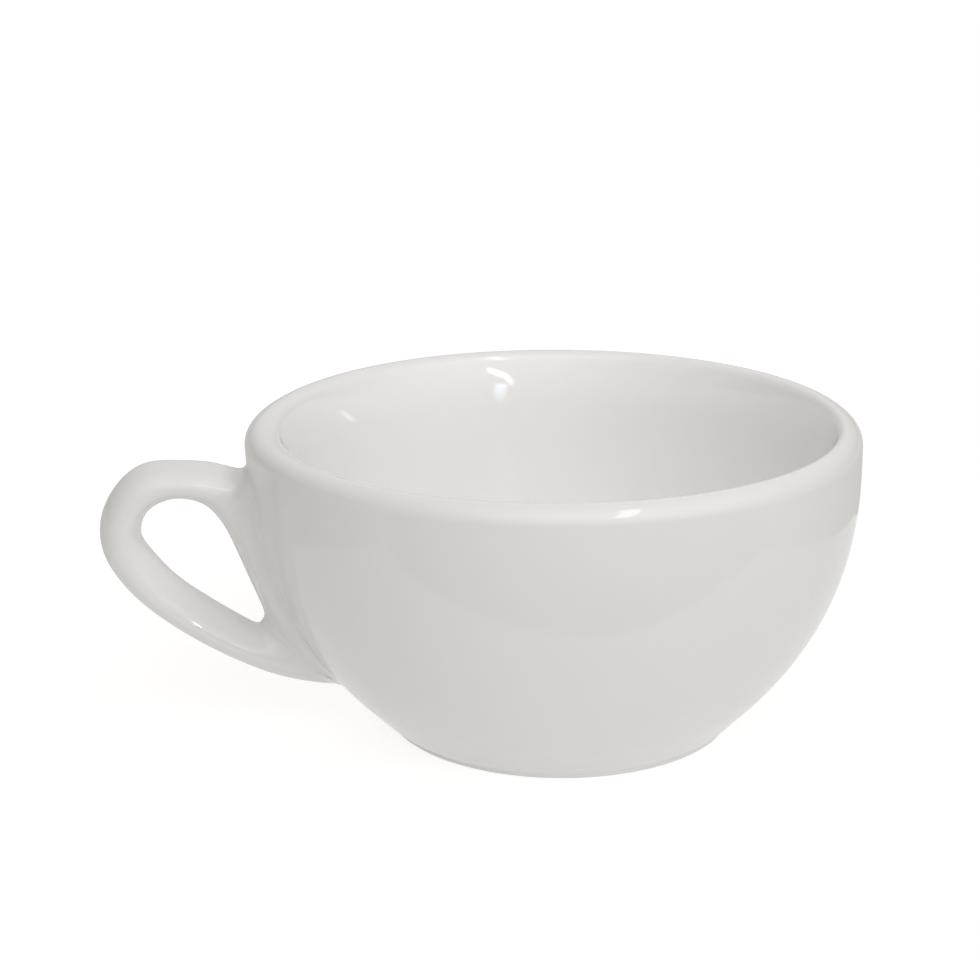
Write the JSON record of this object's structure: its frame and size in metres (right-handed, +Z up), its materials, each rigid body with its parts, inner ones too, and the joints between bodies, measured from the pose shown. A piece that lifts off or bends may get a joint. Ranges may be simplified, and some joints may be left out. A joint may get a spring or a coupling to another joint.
{
  "type": "cappuccino cup",
  "caption": "Low, wide, round-bellied white porcelain coffee cup with a thick rounded lip, a low foot ring and a closed ear handle at one side.",
  "frame": {"origin": "centre of the foot ring, on the table", "axes": "+Z up along the cup's axis; the handle points along -X"},
  "size_m": [0.125, 0.1, 0.052],
  "materials": {
    "glaze": "glossy clear glaze over white porcelain",
    "bare_porcelain": "unglazed, ground smooth where it stands"
  },
  "bodies": {
    "root": {"bowl": "glaze", "foot_ring": "bare_porcelain", "handle": "glaze", "handle_slip": "glaze"}
  },
  "joints": []
}
